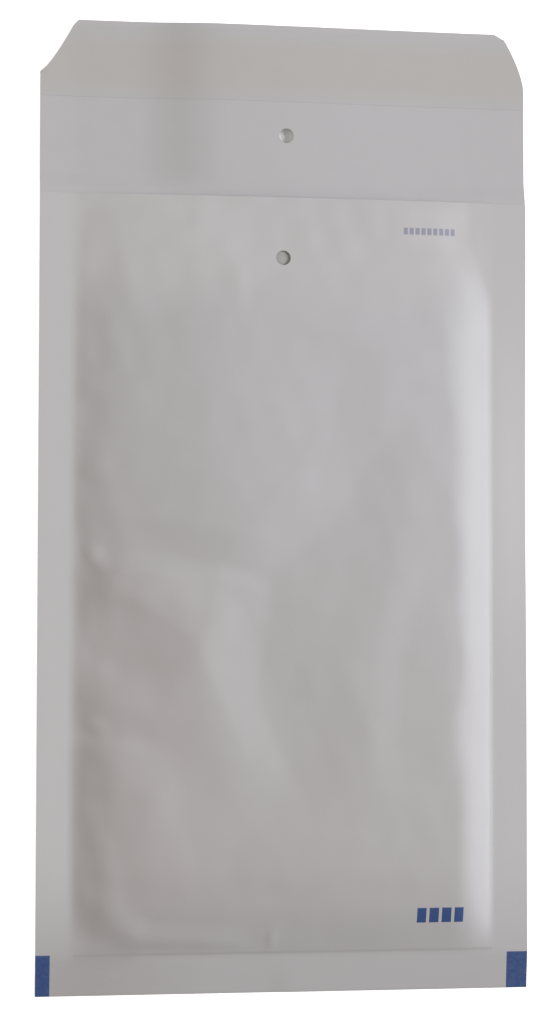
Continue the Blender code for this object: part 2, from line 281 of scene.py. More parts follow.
# Pinches of the pocket, from the left seam inwards. Here height is the share pinched off.
BUCKLES = (
    dict(
        line=((-64, 122.5), (-42, 122.5), (-20, 121), (4, 114)),
        height=0.5, left=11, right=4.5, fade=(0.01, 0.95),
    ),
    dict(
        line=((-64, 73), (-46, 72.5), (-28, 70)),
        height=0.45, left=8, right=4, fade=(0.01, 0.95),
    ),
    dict(
        line=((-64, 110), (-42, 104), (-24, 97)),
        height=0.4, left=16, right=28, fade=(0.01, 0.6),
    ),
)
WANDER = 1.6 * MM
WANDER_SPACING = 34 * MM
HELD_EDGE = 5 * MM


def pinched(x, y):
    """Share of the pocket's gap that the buckles take."""
    return sum(fold(x, y, **shape) for shape in BUCKLES) / MM


def front_folds(x, y):
    """All folds together, which wander a little and die away where the panel is sealed down."""
    near_x = x + WANDER * ripples(x, y, WANDER_SPACING, seed=12)
    near_y = y + WANDER * ripples(x, y, WANDER_SPACING, seed=13)
    height = sum(fold(near_x, near_y, **shape) for shape in FRONT_FOLDS)
    free = ease((POCKET_HALF - np.abs(x)) / HELD_EDGE) * ease((y - POCKET_Y) / HELD_EDGE)
    return height * free


print(len(FRONT_FOLDS), "folds and", len(BUCKLES), "pinches")

# %% [markdown]
# ## The cushion under the paper
#
# Four things lift the front panel off the back: the gap in the pocket, and the two layers of
# bubbles, which are pressed flat at the welds, the foot and the mouth. The left side of this
# mailer has been leaned on, so its slope is longer and lumpier than the crisp right side. A
# reach is how far from its edge a slope takes to level out.

# %% Rise from the side seams
LEFT_EDGE = 13 * MM
LEFT_REACH = 52 * MM
LEFT_REACH_LOSS = 9 * MM
RIGHT_REACH = 11 * MM
RIGHT_REACH_GAIN = 2.5 * MM
RIGHT_INSET = 0.8 * MM
RIGHT_INSET_GAIN = 6 * MM
RIGHT_MOUTH_REACH = 17 * MM
WIDENING_REACH = 50 * MM
WIDENING_FROM = 8 * MM
MOUTH_LOWERING = 0.25
TOP_LOWERING = 0.2


def left_rise(x, up, widening):
    """A small crisp slope along the seam, and a long one over it."""
    lower = below(up, 128, 10)
    crisp = 0.2 + 0.10 * below(up, 92, 12) + 0.07 * above(up, 150, 20)
    crisp = crisp - 0.13 * bump(up - 108 * MM, 22 * MM)
    crisp = crisp * (1 - widening)
    lumps = (1.2 * np.sin(up / (8.3 * MM)) + 1.6 * np.sin(up / (13.1 * MM) + 1.0)) * MM
    from_left = POCKET_HALF + x
    near = crisp * shoulder(from_left, LEFT_EDGE + lumps, 0.5)
    return near + (1 - crisp) * shoulder(from_left, LEFT_REACH - LEFT_REACH_LOSS * lower, 0.05)


def right_rise(x, up, widening):
    """A short slope with a slightly wavy foot."""
    inset = RIGHT_INSET + RIGHT_INSET_GAIN * above(up, 194, 24)
    waves = (0.7 * np.sin(up / (5.3 * MM)) + 0.9 * np.sin(up / (8.9 * MM))) * MM
    reach = RIGHT_REACH + waves + RIGHT_REACH_GAIN * above(up, 125, 30)
    reach = reach + (RIGHT_MOUTH_REACH - reach) * widening
    return shoulder(POCKET_HALF - inset - x, reach)


def side_rise(x, y):
    """0 at the seams and 1 inside: crisp at the right seam, long and uneven at the left."""
    up = y - FOLD_Y
    widening = 1 - ease((MOUTH_Y - WIDENING_FROM - y) / WIDENING_REACH)
    left = left_rise(x, up, widening)
    right = right_rise(x, up, widening)
    lowering = (1 - MOUTH_LOWERING * widening) * (1 - TOP_LOWERING * above(up, 120, 45))
    return np.where(x < 0, left, right) * lowering


row_of_points = np.array([-55, -40, -20, 20, 50]) * MM
print("rise across the middle:", np.round(side_rise(row_of_points, 0 * row_of_points), 2))

# %% Height of the bubbles and of the pocket
CUSHION_FOOT_REACH = 15 * MM
FOOT_REACH = 26 * MM
MOUTH_REACH = 30 * MM
MOUTH_FLAT = 9 * MM
CUSHION_AT_MOUTH = 0.15
POCKET_AT_MOUTH = 0.4


def mouth_rise(y):
    """0 in the flat band along the mouth and 1 further down."""
    return ease((MOUTH_Y - MOUTH_FLAT - y) / MOUTH_REACH)


def cushion(x, y):
    """Height of the bubbles of one wall."""
    foot = shoulder(y - POCKET_Y, CUSHION_FOOT_REACH)
    mouth = CUSHION_AT_MOUTH + (1 - CUSHION_AT_MOUTH) * mouth_rise(y)
    return BUBBLE_HEIGHT * side_rise(x, y) * foot * mouth


def pocket(x, y):
    """Gap between the film walls: a rise along the edges, and a low dome over the whole."""
    foot = shoulder(y - POCKET_Y, FOOT_REACH)
    dome = 1 - np.clip(np.abs(x) / POCKET_HALF, 0, 1) ** 2
    rise = POCKET_RISE * side_rise(x, y) + POCKET_DOME * dome
    return rise * foot * (POCKET_AT_MOUTH + (1 - POCKET_AT_MOUTH) * mouth_rise(y))


middle = np.zeros(1)
print("pocket", round(pocket(middle, middle)[0] / MM, 2), "mm high in the middle")

# %% How the mailer lies on the table
SAG_START = 58 * MM
SAG_REACH = 16 * MM
LEFT_LIFT = 0.45
RIGHT_SAG = 1.3
FLAP_SINK = 1.85 * MM
FLAP_DROOP = 0.4 * MM
CREASE_REACH = 7 * MM
CLOSING_REACH = 8 * MM
LEAST_GAP_SHARE = 0.2


def lie(x, y):
    """Height of the seams over the table: their free edges sag a little, and the foot more."""
    up = y - FOLD_Y
    right = bump(up - 145 * MM, 70 * MM) * ease((x - SAG_START) / SAG_REACH)
    left = ease(up / (60 * MM)) * ease((-SAG_START - x) / SAG_REACH)
    foot = np.clip((POCKET_Y - y) / (10 * MM), 0, 1)
    foot_drop = 1.3 - 0.3 * ease((x + 5 * MM) / (8 * MM))
    return SEAM_Z + (LEFT_LIFT * left - RIGHT_SAG * right - foot_drop * foot) * MM


def back_outside(x, y):
    """Underside of the back panel, and beyond the mouth that of the flap, which waves."""
    out = y - MOUTH_Y
    climb = ease(ease((x + 46 * MM) / (31 * MM)))
    fall = ease((x + 19 * MM) / (80 * MM))
    sink = FLAP_SINK * (1 - climb + 0.8 * fall) * ease(out / CREASE_REACH)
    droop = FLAP_DROOP * ease(out / (TIP_Y - MOUTH_Y))
    return lie(x, y) - np.where(out > 0, sink + droop, cushion(x, y))


def front_outside(x, y):
    """Top of the front panel."""
    closing = ease((FILM_Y - y) / CLOSING_REACH)
    stack = SEAM_STACK + (2 * FOLD_RADIUS - SEAM_STACK) * closing
    gap = pocket(x, y)
    folded_gap = gap * (1 - pinched(x, y)) + front_folds(x, y)
    folded_gap = np.maximum(folded_gap, LEAST_GAP_SHARE * gap)
    return lie(x, y) + stack + folded_gap + cushion(x, y)


print("top of the middle", round(front_outside(middle, middle)[0] / MM, 2), "mm above the table")

# %% [markdown]
# ## Handling: fine crumples
#
# Between the folds the paper has small dents and ripples about as wide as the bubbles below,
# and along the mouth, where nothing holds it, the tops of the bubbles print through. These
# heights are far smaller than the folds, but low light from the side makes them show.

# %% The print of the bubbles
TOP_REACH = 6 * MM


def bubble_print(x, y):
    """Rounded tops of the bubbles where the paper lies on them, 0 between and 1 on top."""
    row = (y - POCKET_Y) / BUBBLE_ROWS
    nearest = np.zeros(x.shape)
    for offset in (0, 1):
        line = np.floor(row) + offset
        shift = np.where(line % 2 == 1, 0.5, 0.0)
        place = x / BUBBLE_PITCH - shift
        gap_x = (place - np.round(place)) * BUBBLE_PITCH
        gap_y = (row - line) * BUBBLE_ROWS
        nearest = np.maximum(nearest, bump(np.hypot(gap_x, gap_y), TOP_REACH))
    return nearest


# %% Crumples
CRUMPLE_EDGE = 4 * MM


def crumple(x, y):
    """Fine relief of the front: strongest on the left slope and along the mouth."""
    left = bump(x + 54 * MM, 14 * MM) * below(y - FOLD_Y, 205, 20)
    mouth = bump(y - (MOUTH_Y - 12 * MM), 20 * MM)
    free = ease((POCKET_HALF - np.abs(x)) / CRUMPLE_EDGE) * ease((y - POCKET_Y) / CRUMPLE_EDGE)
    small = ripples(x, y, 9 * MM, seed=3)
    large = ripples(x, y, 26 * MM, seed=8)
    height = (0.05 + 0.13 * left + 0.04 * mouth) * small + (0.12 + 0.10 * left) * large
    height += (0.03 + 0.04 * mouth) * bubble_print(x, y)
    height += 0.2 * bump(y - MOUTH_Y, 4 * MM) * ripples(x, 0 * y, 15 * MM, seed=21)
    return height * MM * free


small_field = np.linspace(-50, 50, 400) * MM
print("crumples of up to", round(np.abs(crumple(small_field, small_field)).max() / MM, 2), "mm")

# %% [markdown]
# ## The sheet of paper
#
# The envelope is one piece of paper, so it is made the way the machine makes it: a flat sheet,
# folded. The grid primitive gives a flat sheet with even rows. Its rows are moved closer on
# the front, where the fine relief is, and further apart on the back. The flat places are kept
# as the UV map, in metres, so that print stays on the paper as on the real web.

# %% Helpers for whole meshes
def points_of(piece):
    flat = np.empty(len(piece.data.vertices) * 3)
    piece.data.vertices.foreach_get("co", flat)
    return flat.reshape(-1, 3)


def move_points(piece, points):
    piece.data.vertices.foreach_set("co", np.ascontiguousarray(points, dtype=np.float64).ravel())
    piece.data.update()


def only(piece):
    """Makes the piece the one thing that operators work on."""
    if bpy.context.mode != "OBJECT":
        bpy.ops.object.mode_set(mode="OBJECT")
    bpy.ops.object.select_all(action="DESELECT")
    piece.select_set(True)
    bpy.context.view_layer.objects.active = piece


def grid_sheet(name, columns, rows):
    """A flat sheet with a line at each place in columns and rows, and those places as its UV."""
    bpy.ops.object.select_all(action="DESELECT")
    bpy.ops.mesh.primitive_grid_add(
        x_subdivisions=len(columns) - 1, y_subdivisions=len(rows) - 1, size=1
    )
    sheet = bpy.context.object
    sheet.name = name
    points = points_of(sheet)
    column = np.round((points[:, 0] + 0.5) * (len(columns) - 1)).astype(int)
    row = np.round((points[:, 1] + 0.5) * (len(rows) - 1)).astype(int)
    points[:, 0] = np.array(columns)[column]
    points[:, 1] = np.array(rows)[row]
    move_points(sheet, points)
    corner = np.empty(len(sheet.data.loops), dtype=int)
    sheet.data.loops.foreach_get("vertex_index", corner)
    sheet.data.uv_layers.active.data.foreach_set("uv", points[corner, :2].ravel())
    return sheet


def apply_all(piece):
    only(piece)
    for modifier in list(piece.modifiers):
        bpy.ops.object.modifier_apply(modifier=modifier.name)


def thicken(piece, thickness, offset):
    wall = piece.modifiers.new("thickness", "SOLIDIFY")
    wall.thickness = thickness
    wall.offset = offset
    apply_all(piece)


# %% Where the rows of the sheet go
ARC = math.pi / 2 * FOLD_RADIUS


def unrolled(y):
    """Distance along the flat sheet from the middle of the bottom fold."""
    return ARC + y - (FOLD_Y + FOLD_RADIUS)


COLUMN_STEP = 1.2 * MM
FRONT_STEP = 1.15 * MM
BACK_STEP = 1.7 * MM
FOLD_ROWS = 6


def even(low, high, step):
    return list(np.linspace(low, high, max(2, round((high - low) / step) + 1)))


columns = even(-HALF_WIDTH, HALF_WIDTH, COLUMN_STEP)
front_rows = even(-unrolled(MOUTH_Y), -ARC, FRONT_STEP)
fold_rows = list(np.linspace(-ARC, ARC, FOLD_ROWS + 1))[1:-1]
back_rows = even(ARC, unrolled(TIP_Y), BACK_STEP)
rows = front_rows + fold_rows + back_rows
print(len(columns), "columns and", len(rows), "rows")

# %% The flap's cut corners
# For each side: how deep the cut is, how long, how much it bows and how round the tip is
BEVELS = {
    -1: (10.2 * MM, 15.2 * MM, 0.78, 0.6 * MM),
    1: (6.6 * MM, 16.3 * MM, 1.5, 2.0 * MM),
}
TRIM_REACH = 15 * MM


def flap_side(side, y):
    """Half width of the flap, with the corner that the die cuts off."""
    depth, length, bow, tip_round = BEVELS[side]
    share = np.clip((y - (TIP_Y - length)) / length, 0, 1)
    into_round = np.clip(1 - (TIP_Y - y) / tip_round, 0, 1)
    rounded = tip_round * (1 - np.sqrt(1 - into_round**2))
    return HALF_WIDTH - depth * share**bow - rounded


def trimmed(x, y):
    """x moved in to the flap's outline, which shifts only the outer part of the sheet."""
    inner = POCKET_HALF - TRIM_REACH
    share = np.clip((np.abs(x) - inner) / (HALF_WIDTH - inner), 0, 1)
    outline = np.where(x < 0, flap_side(-1, y), flap_side(1, y))
    return np.where(np.abs(x) > inner, np.sign(x) * (inner + share * (outline - inner)), x)


print("half width at the tip:", [round(float(flap_side(side, TIP_Y)) / MM, 1) for side in BEVELS])

# %% Fold the sheet
def folded(points):
    """Flat places to places on the folded mailer. The front is at negative y."""
    x, along = points[:, 0], points[:, 1]
    angle = np.clip(along / FOLD_RADIUS, -math.pi / 2, math.pi / 2)
    y = FOLD_Y + FOLD_RADIUS + np.maximum(np.abs(along) - ARC, 0) - FOLD_RADIUS * np.cos(angle)
    front_z = front_outside(x, y) + crumple(x, y)
    back_x = trimmed(x, y)
    back_z = back_outside(back_x, y)
    bend_z = lie(x, y) + FOLD_RADIUS * (1 - np.sin(angle))
    z = np.where(along <= -ARC, front_z, np.where(along >= ARC, back_z, bend_z))
    return np.column_stack([np.where(along >= ARC, back_x, x), y, z])


envelope = grid_sheet("folded_paper", columns, rows)
move_points(envelope, folded(points_of(envelope)))
only(envelope)
bpy.ops.object.mode_set(mode="EDIT")
bpy.ops.mesh.select_all(action="SELECT")
bpy.ops.mesh.flip_normals()
bpy.ops.object.mode_set(mode="OBJECT")
thicken(envelope, PAPER, offset=-1)
print("paper:", len(envelope.data.polygons), "faces")

# %% [markdown]
# ## Two punched holes
#
# A paper clasp goes through a hole in the flap and one in the front panel, which come together
# when the flap is folded over at its crease. The cutter is a plain cylinder, longer than the
# wall it goes through. The manifold solver is quick on a mesh of this size, and it is safe
# here because both meshes are closed. Each punch starts and ends at its own two heights, so
# that the one through the front panel stops above the back panel.

# %% Punch the holes
HOLE = 4.2 * MM
CREASE_Y = MOUTH_Y + 0.4 * MM
HOLE_FROM_CREASE = 17.8 * MM
FRONT_HOLE = (-1.1 * MM, CREASE_Y - HOLE_FROM_CREASE)
FLAP_HOLE = (0.2 * MM, CREASE_Y + HOLE_FROM_CREASE)


def punch(piece, place, low, high):
    bpy.ops.object.select_all(action="DESELECT")
    bpy.ops.mesh.primitive_cylinder_add(
        vertices=40, radius=HOLE / 2, depth=high - low, location=(*place, (low + high) / 2)
    )
    cutter = bpy.context.object
    cut = piece.modifiers.new("punch", "BOOLEAN")
    cut.operation = "DIFFERENCE"
    cut.solver = "MANIFOLD"
    cut.object = cutter
    apply_all(piece)
    bpy.data.objects.remove(cutter)


punch(envelope, FRONT_HOLE, 3 * MM, 20 * MM)
punch(envelope, FLAP_HOLE, -3 * MM, 8 * MM)
print("paper with holes:", len(envelope.data.polygons), "faces")

# %% [markdown]
# ## A finish for white paper
#
# Mailer paper is bleached kraft: white, but with a faint cloud of fibres, a fine tooth and
# hardly any gloss. Noises on the object's own coordinates give the cloud, the fibres and the
# tooth. What has a place on the sheet is a rectangle on the UV map, which is in metres of flat
# sheet: the blue marks that steer the cutting machine, and soft patches of painted light and
# shade, lighter where the front lies flat and darker towards the bottom and in the seal's crease.

# %% Node helpers
def new_material(name, colour, roughness):
    made = bpy.data.materials.new(name)
    made.use_nodes = True
    shader = made.node_tree.nodes["Principled BSDF"]
    shader.inputs["Base Color"].default_value = (*colour, 1)
    shader.inputs["Roughness"].default_value = roughness
    return made, shader


def add_node(made, kind, **inputs):
    node = made.node_tree.nodes.new(kind)
    for name, value in inputs.items():
        node.inputs[name.replace("_", " ")].default_value = value
    return node


def wire(made, start, end):
    made.node_tree.links.new(start, end)


def math_node(made, operation, first, second):
    """A Math node that takes numbers or other nodes' outputs."""
    node = made.node_tree.nodes.new("ShaderNodeMath")
    node.operation = operation
    for socket, value in zip(node.inputs, (first, second)):
        if isinstance(value, (int, float)):
            socket.default_value = value
        else:
            wire(made, value, socket)
    return node.outputs[0]


def mix_colour(made, factor, first, second):
    node = made.node_tree.nodes.new("ShaderNodeMix")
    node.data_type = "RGBA"
    sockets = (node.inputs[0], node.inputs[6], node.inputs[7])
    for socket, value in zip(sockets, (factor, first, second)):
        if isinstance(value, tuple):
            socket.default_value = (*value, 1)
        elif isinstance(value, (int, float)):
            socket.default_value = value
        else:
            wire(made, value, socket)
    return node.outputs[2]


def noise(made, where, scale, detail=3.0):
    node = add_node(made, "ShaderNodeTexNoise", Scale=scale, Detail=detail)
    wire(made, where, node.inputs["Vector"])
    return node.outputs["Fac"]


def bumped(made, shader, height, strength, distance):
    node = add_node(made, "ShaderNodeBump", Strength=strength, Distance=distance)
    wire(made, height, node.inputs["Height"])
    wire(made, node.outputs["Normal"], shader.inputs["Normal"])


# %% Rectangles on the flat sheet
INK_EDGE = 0.15 * MM


def inside(made, value, low, high, softness=INK_EDGE):
    """1 where low < value < high, with an edge as soft as ink on paper."""
    rise = math_node(made, "SUBTRACT", value, low)
    rise = math_node(made, "DIVIDE", rise, softness)
    fall = math_node(made, "SUBTRACT", high, value)
    fall = math_node(made, "DIVIDE", fall, softness)
    both = made.node_tree.nodes.new("ShaderNodeMath")
    both.operation = "MINIMUM"
    both.use_clamp = True
    wire(made, rise, both.inputs[0])
    wire(made, fall, both.inputs[1])
    return both.outputs[0]


def rectangle(made, x, y, low, high, softness=INK_EDGE):
    across = inside(made, x, low[0], high[0], softness)
    along = inside(made, y, low[1], high[1], softness)
    return math_node(made, "MULTIPLY", across, along)


def front(up):
    """A distance up the front panel, as a place on the flat sheet."""
    return -unrolled(FOLD_Y + up)


def row_of_blocks(made, x, y, low, high, count, gap):
    """Equal blocks of ink side by side in a rectangle."""
    pitch = (high[0] - low[0] + gap) / count
    place = math_node(made, "DIVIDE", math_node(made, "SUBTRACT", x, low[0]), pitch)
    block = math_node(made, "LESS_THAN", math_node(made, "FRACT", place, 0.0), 1 - gap / pitch)
    return math_node(made, "MULTIPLY", block, rectangle(made, x, y, low, high))


print("front panel from", round(front(MOUTH_Y - FOLD_Y) / MM, 1), "to", round(front(0) / MM, 1), "mm")

# %% Start the paper's finish
PAPER_COLOUR = (0.455, 0.448, 0.455)

paper, paper_shader = new_material("bleached kraft paper", PAPER_COLOUR, 0.6)
uv = add_node(paper, "ShaderNodeUVMap")
split = add_node(paper, "ShaderNodeSeparateXYZ")
wire(paper, uv.outputs["UV"], split.inputs["Vector"])
flat_x, flat_y = split.outputs["X"], split.outputs["Y"]
solid_place = add_node(paper, "ShaderNodeTexCoord").outputs["Object"]


def paper_patch(low, high, softness):
    """A soft rectangle on the paper: across from low to high, and up in the same way."""
    return rectangle(paper, flat_x, flat_y, low, high, softness)


def crossed(across, along):
    return math_node(paper, "MULTIPLY", across, along)


print("paper:", paper.name)

# %% Blue marks and blocks
MARK_INK = (0.021, 0.056, 0.18)
BLOCK_INK = (0.05, 0.07, 0.22)
PAST_EDGE = 80 * MM
LEFT_MARK_END = -65.9 * MM
LEFT_MARK_TOP = front(11.7 * MM)
RIGHT_MARK_START = 63.9 * MM
RIGHT_MARK_TOP = front(10.5 * MM)

corner_marks = math_node(
    paper,
    "MAXIMUM",
    paper_patch((-PAST_EDGE, LEFT_MARK_TOP), (LEFT_MARK_END, 0), INK_EDGE),
    paper_patch((RIGHT_MARK_START, RIGHT_MARK_TOP), (PAST_EDGE, 0), INK_EDGE),
)
ink_cloud = noise(paper, solid_place, 900, 2)
ink_cover = math_node(paper, "MULTIPLY_ADD", ink_cloud, -0.16)
ink_cover.node.inputs[2].default_value = 1.06
marks = crossed(corner_marks, ink_cover)
foot_blocks = row_of_blocks(
    paper, flat_x, flat_y, (37.0 * MM, front(23.8 * MM)), (50.6 * MM, front(19.4 * MM)), 4, 0.9 * MM
)
top_blocks = row_of_blocks(
    paper, flat_x, flat_y, (33.8 * MM, front(217.3 * MM)), (49.0 * MM, front(215.2 * MM)), 9, 0.5 * MM
)
print("marks reach", round(-LEFT_MARK_TOP / MM, 1), "and", round(-RIGHT_MARK_TOP / MM, 1), "mm up")

# %% Patches where the paper looks darker or whiter
# Painted shade: over the padded part of the front the paper is made darker towards the bottom fold
padded_shade = crossed(
    inside(paper, flat_x, -POCKET_HALF, POCKET_HALF, 8 * MM),
    crossed(
        inside(paper, flat_y, front(165 * MM), 150 * MM, 150 * MM),
        inside(paper, flat_y, -1, front(6 * MM), 25 * MM),
    ),
)
# Painted shade: the paper darkens further towards the bottom fold
foot_shade = inside(paper, flat_y, front(45 * MM), 60 * MM, 60 * MM)
# Painted light: the flat parts of the front, along the side seams and the band at the mouth, are made
# whiter
filled = crossed(
    inside(paper, flat_x, -POCKET_HALF, POCKET_HALF, 3 * MM),
    inside(paper, flat_y, front(205 * MM), front(9 * MM), 14 * MM),
)
on_front = inside(paper, flat_y, -1, front(9 * MM), 30 * MM)
flat_light = crossed(on_front, math_node(paper, "SUBTRACT", 1.0, filled))
# Painted shade darkens the lower left of the front, most of all in its corner, and painted light
# lifts the long left slope above it
lower_left_shade = crossed(
    inside(paper, flat_x, -90 * MM, -20 * MM, 40 * MM),
    inside(paper, flat_y, front(28 * MM), 40 * MM, 20 * MM),
)
corner_shade = paper_patch((-62 * MM, front(15 * MM)), (-40 * MM, front(7 * MM)), 5 * MM)
left_slope_light = paper_patch((-66 * MM, front(127 * MM)), (-14 * MM, front(22 * MM)), 14 * MM)
# Painted shade in the crease that the bottom seal presses into the paper
seal_crease_shade = paper_patch((-POCKET_HALF, front(12.0 * MM)), (POCKET_HALF, front(10.8 * MM)), 0.6 * MM)
# A whiter patch behind the upper row of blocks
bare_patch = paper_patch((30 * MM, front(224 * MM)), (54 * MM, front(210 * MM)), 2.5 * MM)
print("patches:", len(paper.node_tree.nodes), "nodes so far")

# %% Colour and tooth of the paper
cloud = noise(paper, solid_place, 160, 4)
fibre = noise(paper, solid_place, 2600, 3)
tone = mix_colour(paper, cloud, (0.445, 0.437, 0.452), (0.467, 0.460, 0.475))
# Random tone, print and the patches of painted light and shade are mixed into the colour in turn
for patch, strength, colour in (
    (fibre, 0.25, (0.42, 0.41, 0.41)),
    (padded_shade, 0.9, (0.395, 0.376, 0.377)),
    (foot_shade, 0.6, (0.33, 0.31, 0.317)),
    (lower_left_shade, 0.45, (0.30, 0.28, 0.275)),
    (left_slope_light, 0.4, (0.47, 0.45, 0.455)),
    (flat_light, 0.6, (0.49, 0.48, 0.485)),
    (corner_shade, 0.4, (0.30, 0.28, 0.275)),
    (seal_crease_shade, 0.5, (0.30, 0.28, 0.28)),
    (bare_patch, 0.5, (0.50, 0.49, 0.50)),
    (top_blocks, 0.48, BLOCK_INK),
):
    tone = mix_colour(paper, math_node(paper, "MULTIPLY", patch, strength), tone, colour)
tone = mix_colour(paper, math_node(paper, "MAXIMUM", marks, foot_blocks), tone, MARK_INK)
wire(paper, tone, paper_shader.inputs["Base Color"])
fine_tooth = noise(paper, solid_place, 1500, 4)
tooth = math_node(paper, "ADD", fine_tooth, math_node(paper, "MULTIPLY", cloud, 2.0))
bumped(paper, paper_shader, tooth, 0.25, 0.05 * MM)
print("paper finish:", len(paper.node_tree.nodes), "nodes")

# %% Dress the paper
def dress(piece, material, node):
    """Gives a finished piece its one material, hides its plain piece and hangs it on the root."""
    piece.data.materials.clear()
    piece.data.materials.append(material)
    only(piece)
    bpy.ops.object.shade_smooth_by_angle(angle=math.radians(40))
    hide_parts(node)
    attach(piece, "root")


dress(envelope, paper, "paper_envelope")
print("dressed:", envelope.name)

# %% [markdown]
# ## The bag of bubble film
#
# Bubble film is two films: a flat one, and one with rows of small round cups that hold the air.
# The cups are on the outside of the bag, against the paper. The flat walls of the bag are a
# thin closed shell: one lens-shaped body, with a slightly smaller lens taken out of it that
# runs on past the mouth. One bubble is meant to be shaped from a sphere, and Array modifiers
# repeat it.
#
# Known fault: the finished bag has no bubbles. `drop_cut_bubbles` clears the selection of points
# only. The faces stay selected, edit mode selects their points again, and the delete takes them
# all, so both unions add no bubbles. Clearing the selection of edges and faces as well would
# keep 161 bubbles on each wall. That changes the shape and is not applied here.

# %% Faces of the two film walls
def front_film(x, y):
    """Outer face of the front wall, a bubble's height below the paper."""
    return front_outside(x, y) + crumple(x, y) - PAPER - TOUCH - cushion(x, y)


def back_film(x, y):
    """Outer face of the back wall. It is level inside the seams, as the mailer lies on it."""
    return lie(x, y) + PAPER + TOUCH


def lens(name, half, low, high, step, top, bottom):
    """A closed body between two heights over a rectangle."""
    piece = grid_sheet(name, even(-half, half, step), even(low, high, step))
    only(piece)
    bpy.ops.object.mode_set(mode="EDIT")
    bpy.ops.mesh.select_all(action="SELECT")
    bpy.ops.mesh.extrude_region_move(TRANSFORM_OT_translate={"value": (0, 0, 1)})
    bpy.ops.mesh.select_all(action="SELECT")
    bpy.ops.mesh.normals_make_consistent(inside=False)
    bpy.ops.object.mode_set(mode="OBJECT")
    points = points_of(piece)
    x, y = points[:, 0], points[:, 1]
    points[:, 2] = np.where(points[:, 2] > 0.5, top(x, y), bottom(x, y))
    move_points(piece, points)
    return piece


def combine(piece, other, operation):
    """Boolean of two closed bodies. The other body is used up."""
    step = piece.modifiers.new(operation.lower(), "BOOLEAN")
    step.operation = operation
    step.solver = "MANIFOLD"
    step.object = other
    apply_all(piece)
    bpy.data.objects.remove(other)


FILM_STEP = 2.4 * MM
LEAST_GAP = 0.02 * MM

film = lens("bubble_film", HALF_WIDTH, FILM_Y, MOUTH_Y, FILM_STEP, front_film, back_film)
space = lens(
    "pocket_space",
    POCKET_HALF,
    POCKET_Y,
    MOUTH_Y + 6 * MM,
    FILM_STEP,
    lambda x, y: np.maximum(front_film(x, y) - FILM, back_film(x, y) + FILM + LEAST_GAP),
    lambda x, y: back_film(x, y) + FILM,
)
combine(film, space, "DIFFERENCE")
print("film bag:", len(film.data.polygons), "faces")

# %% One bubble, then rows of them
ROOT_DEPTH = 0.5 * FILM
EDGE_ROOM = 0.4 * MM
MOUTH_ROOM = 3 * MM
ACROSS = 12
ALONG = 10


def bubble_rows():
    """A flat field of bubbles whose points have heights from 0, at the film, to 1."""
    bpy.ops.object.select_all(action="DESELECT")
    for column, row in ((0, 0), (0.5, 1)):
        place = ((column - ACROSS / 2) * BUBBLE_PITCH, POCKET_Y + row * BUBBLE_ROWS, 0)
        bpy.ops.mesh.primitive_uv_sphere_add(segments=16, ring_count=10, radius=1, location=place)
    bpy.ops.object.select_all(action="DESELECT")
    pair = [piece for piece in bpy.data.objects if piece.name.startswith("Sphere")]
    for piece in pair:
        piece.select_set(True)
        piece.scale = (BUBBLE_RADIUS, BUBBLE_RADIUS, 1)
    bpy.context.view_layer.objects.active = pair[0]
    bpy.ops.object.join()
    field = bpy.context.object
    bpy.ops.object.transform_apply(location=True, rotation=True, scale=True)
    for name, offset, count in (
        ("across", (BUBBLE_PITCH, 0, 0), ACROSS),
        ("along", (0, 2 * BUBBLE_ROWS, 0), ALONG),
    ):
        rows = field.modifiers.new(name, "ARRAY")
        rows.use_relative_offset = False
        rows.use_constant_offset = True
        rows.constant_offset_displace = offset
        rows.count = count
    apply_all(field)
    return field


def cell_centre(x, y):
    """Middle of the bubble that a point belongs to."""
    row = np.round((y - POCKET_Y) / BUBBLE_ROWS)
    shift = np.where(row % 2 == 1, 0.5, 0)
    column = np.round(x / BUBBLE_PITCH - shift)
    return (column + shift) * BUBBLE_PITCH, POCKET_Y + row * BUBBLE_ROWS


def drop_cut_bubbles(field):
    """Meant to remove the bubbles without room. It now removes all: see the known fault."""
    points = points_of(field)
    x, y = cell_centre(points[:, 0], points[:, 1])
    room = np.minimum(POCKET_HALF - np.abs(x), np.minimum(y - POCKET_Y, MOUTH_Y - MOUTH_ROOM - y))
    drop = room < BUBBLE_RADIUS + EDGE_ROOM
    field.data.vertices.foreach_set("select", drop)
    field.data.update()
    only(field)
    bpy.ops.object.mode_set(mode="EDIT")
    bpy.ops.mesh.delete(type="VERT")
    bpy.ops.object.mode_set(mode="OBJECT")


TOP_POWER = 3.2


def seat_bubbles(field, wall, up):
    """Sits the field on a film wall. A bubble's side is steep and its top is nearly level."""
    points = points_of(field)
    x, y, z = points.T
    centre_x, centre_y = cell_centre(x, y)
    radius = np.clip(np.hypot(x - centre_x, y - centre_y) / BUBBLE_RADIUS, 0, 1)
    height = (1 - radius**TOP_POWER) * cushion(x, y)
    root = ROOT_DEPTH * np.sqrt(np.clip(1 - radius**2, 0, 1))
    points[:, 2] = wall(x, y) + up * np.where(z > 0, height, -root)
    move_points(field, points)
    only(field)
    bpy.ops.object.mode_set(mode="EDIT")
    bpy.ops.mesh.select_all(action="SELECT")
    bpy.ops.mesh.normals_make_consistent(inside=False)
    bpy.ops.object.mode_set(mode="OBJECT")


for wall, up in ((front_film, 1), (back_film, -1)):
    field = bubble_rows()
    drop_cut_bubbles(field)
    seat_bubbles(field, wall, up)
    bubble_faces = len(field.data.polygons)
    combine(film, field, "UNION")
    print("bubble faces for this wall:", bubble_faces)
print("film bag after both walls:", len(film.data.polygons), "faces")

# %% [markdown]
# ## A finish for clear film
#
# The film is thin polythene: nearly colourless, a little milky where light catches it, and
# glossy. Its see-through look comes from the shader's alpha, which is cheap and which survives
# an export, and a very fine ripple breaks up its highlights.

